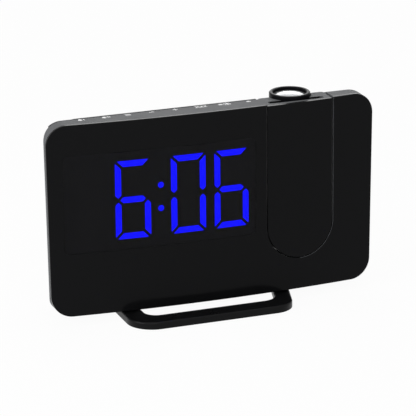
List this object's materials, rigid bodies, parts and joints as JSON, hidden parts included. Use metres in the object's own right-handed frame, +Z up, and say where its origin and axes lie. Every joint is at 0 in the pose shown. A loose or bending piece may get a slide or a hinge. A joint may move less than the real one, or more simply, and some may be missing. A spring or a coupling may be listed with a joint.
{
  "type": "projection alarm clock",
  "caption": "Wide slab alarm clock with a bowed gloss front, a segment display, a tilting U-shaped projector arm with a focus ring, and a flat loop foot.",
  "frame": {"origin": "centre of the part's outline seen from above, at the height of the table it stands on", "axes": "+X to the right as seen from the front, +Y towards the back, +Z up; the display faces -Y"},
  "size_m": [0.1916, 0.0582, 0.117],
  "materials": {
    "black_gloss": "gloss",
    "smoked_window": "gloss, smoked clear",
    "black_inner": "matt",
    "lit_blue": "lit from behind",
    "silver_plastic": "satin",
    "dark_shell": "fine matt texture",
    "foot_plastic": "satin gloss",
    "pad_rubber": "matt",
    "ring_black": "satin",
    "lens_glass": "polished",
    "key_grey": "satin",
    "circuit_board": "solder mask",
    "led_white": "gloss",
    "switch_black": "gloss",
    "screw_steel": "plated",
    "pin_steel": "polished",
    "bush_white": "waxy",
    "speaker_paper": "paper",
    "magnet_iron": "dull",
    "heatsink_metal": "anodised"
  },
  "bodies": {
    "case": {"board_components": "black_inner", "case_screws": "screw_steel", "cell_contact": "pin_steel", "cell_door": "dark_shell", "cell_door_screw": "screw_steel", "cell_tray": "black_inner", "coin_cell": "pin_steel", "dark_segments": "black_inner", "display_board": "circuit_board", "display_leds": "led_white", "display_mask": "black_inner", "display_screws": "screw_steel", "display_window": "smoked_window", "foot": "foot_plastic", "foot_pads": "pad_rubber", "foot_screws": "screw_steel", "front_frame": "silver_plastic", "front_panel": "black_gloss", "hinge_bushes": "bush_white", "inlet_pin": "pin_steel", "key_board": "circuit_board", "key_board_screws": "screw_steel", "key_switches": "switch_black", "lit_segments": "lit_blue", "main_board": "circuit_board", "main_board_screws": "screw_steel", "power_inlet": "dark_shell", "rear_shell": "dark_shell", "slide_switch": "black_inner", "slider_board": "circuit_board", "slider_board_screws": "screw_steel", "speaker_basket": "black_inner", "speaker_cone": "speaker_paper", "speaker_magnet": "magnet_iron"},
    "arm": {"arm_panel": "black_gloss", "arm_frame": "silver_plastic", "arm_cover": "dark_shell", "arm_screws": "screw_steel", "hinge_pins": "pin_steel", "friction_washers": "bush_white", "projector_tube": "ring_black", "condenser_lens": "lens_glass", "image_carrier": "black_inner", "image_plate": "lens_glass", "projector_led": "led_white", "led_board": "circuit_board", "led_heatsink": "heatsink_metal"},
    "focus": {"focus_ring": "ring_black"},
    "lens": {"lens_cell": "ring_black", "projection_lens": "lens_glass"},
    "knob": {"slide_knob": "dark_shell"},
    "alarm_one_button": {"alarm_one_key": "key_grey"},
    "alarm_two_button": {"alarm_two_key": "key_grey"},
    "mode_button": {"mode_key": "key_grey"},
    "minus_button": {"minus_key": "key_grey"},
    "plus_button": {"plus_key": "key_grey"},
    "snooze_button": {"snooze_key": "key_grey"},
    "light_button": {"light_key": "key_grey"},
    "sound_button": {"sound_key": "key_grey"}
  },
  "joints": [
    {"name": "arm_tilt", "type": "hinge", "parent": "case", "child": "arm", "pos_m": [0.0507, -0.00325, 0.0535], "axis": [1, 0, 0], "range_deg": [-90, 90]},
    {"name": "focus_turn", "type": "hinge", "parent": "arm", "child": "focus", "pos_m": [0.0507, 0.0068, 0.112], "axis": [0, 0, 1], "range_deg": [-92, 92]},
    {"name": "lens_slide", "type": "slide", "parent": "arm", "child": "lens", "axis": [0, 0, 1], "range_m": [-0.0012, 0.0012]},
    {"name": "switch_slide", "type": "slide", "parent": "case", "child": "knob", "axis": [1, 0, 0], "range_m": [0, 0.004]},
    {"name": "alarm_one_press", "type": "slide", "parent": "case", "child": "alarm_one_button", "axis": [0, -0.6157, -0.788], "range_m": [0, 0.0008], "stiffness_N_per_m": 400, "springref_m": -0.001},
    {"name": "alarm_two_press", "type": "slide", "parent": "case", "child": "alarm_two_button", "axis": [0, -0.6157, -0.788], "range_m": [0, 0.0008], "stiffness_N_per_m": 400, "springref_m": -0.001},
    {"name": "mode_press", "type": "slide", "parent": "case", "child": "mode_button", "axis": [0, -0.6157, -0.788], "range_m": [0, 0.0008], "stiffness_N_per_m": 400, "springref_m": -0.001},
    {"name": "minus_press", "type": "slide", "parent": "case", "child": "minus_button", "axis": [0, -0.6157, -0.788], "range_m": [0, 0.0008], "stiffness_N_per_m": 400, "springref_m": -0.001},
    {"name": "plus_press", "type": "slide", "parent": "case", "child": "plus_button", "axis": [0, -0.6157, -0.788], "range_m": [0, 0.0008], "stiffness_N_per_m": 400, "springref_m": -0.001},
    {"name": "snooze_press", "type": "slide", "parent": "case", "child": "snooze_button", "axis": [0, -0.6157, -0.788], "range_m": [0, 0.0008], "stiffness_N_per_m": 400, "springref_m": -0.001},
    {"name": "light_press", "type": "slide", "parent": "case", "child": "light_button", "axis": [0, -0.6157, -0.788], "range_m": [0, 0.0008], "stiffness_N_per_m": 400, "springref_m": -0.001},
    {"name": "sound_press", "type": "slide", "parent": "case", "child": "sound_button", "axis": [0, -0.6157, -0.788], "range_m": [0, 0.0008], "stiffness_N_per_m": 400, "springref_m": -0.001}
  ],
  "couplings": [
    {"joint": "focus_turn", "follows": "lens_slide", "rad_per_m": 1256.6}
  ]
}
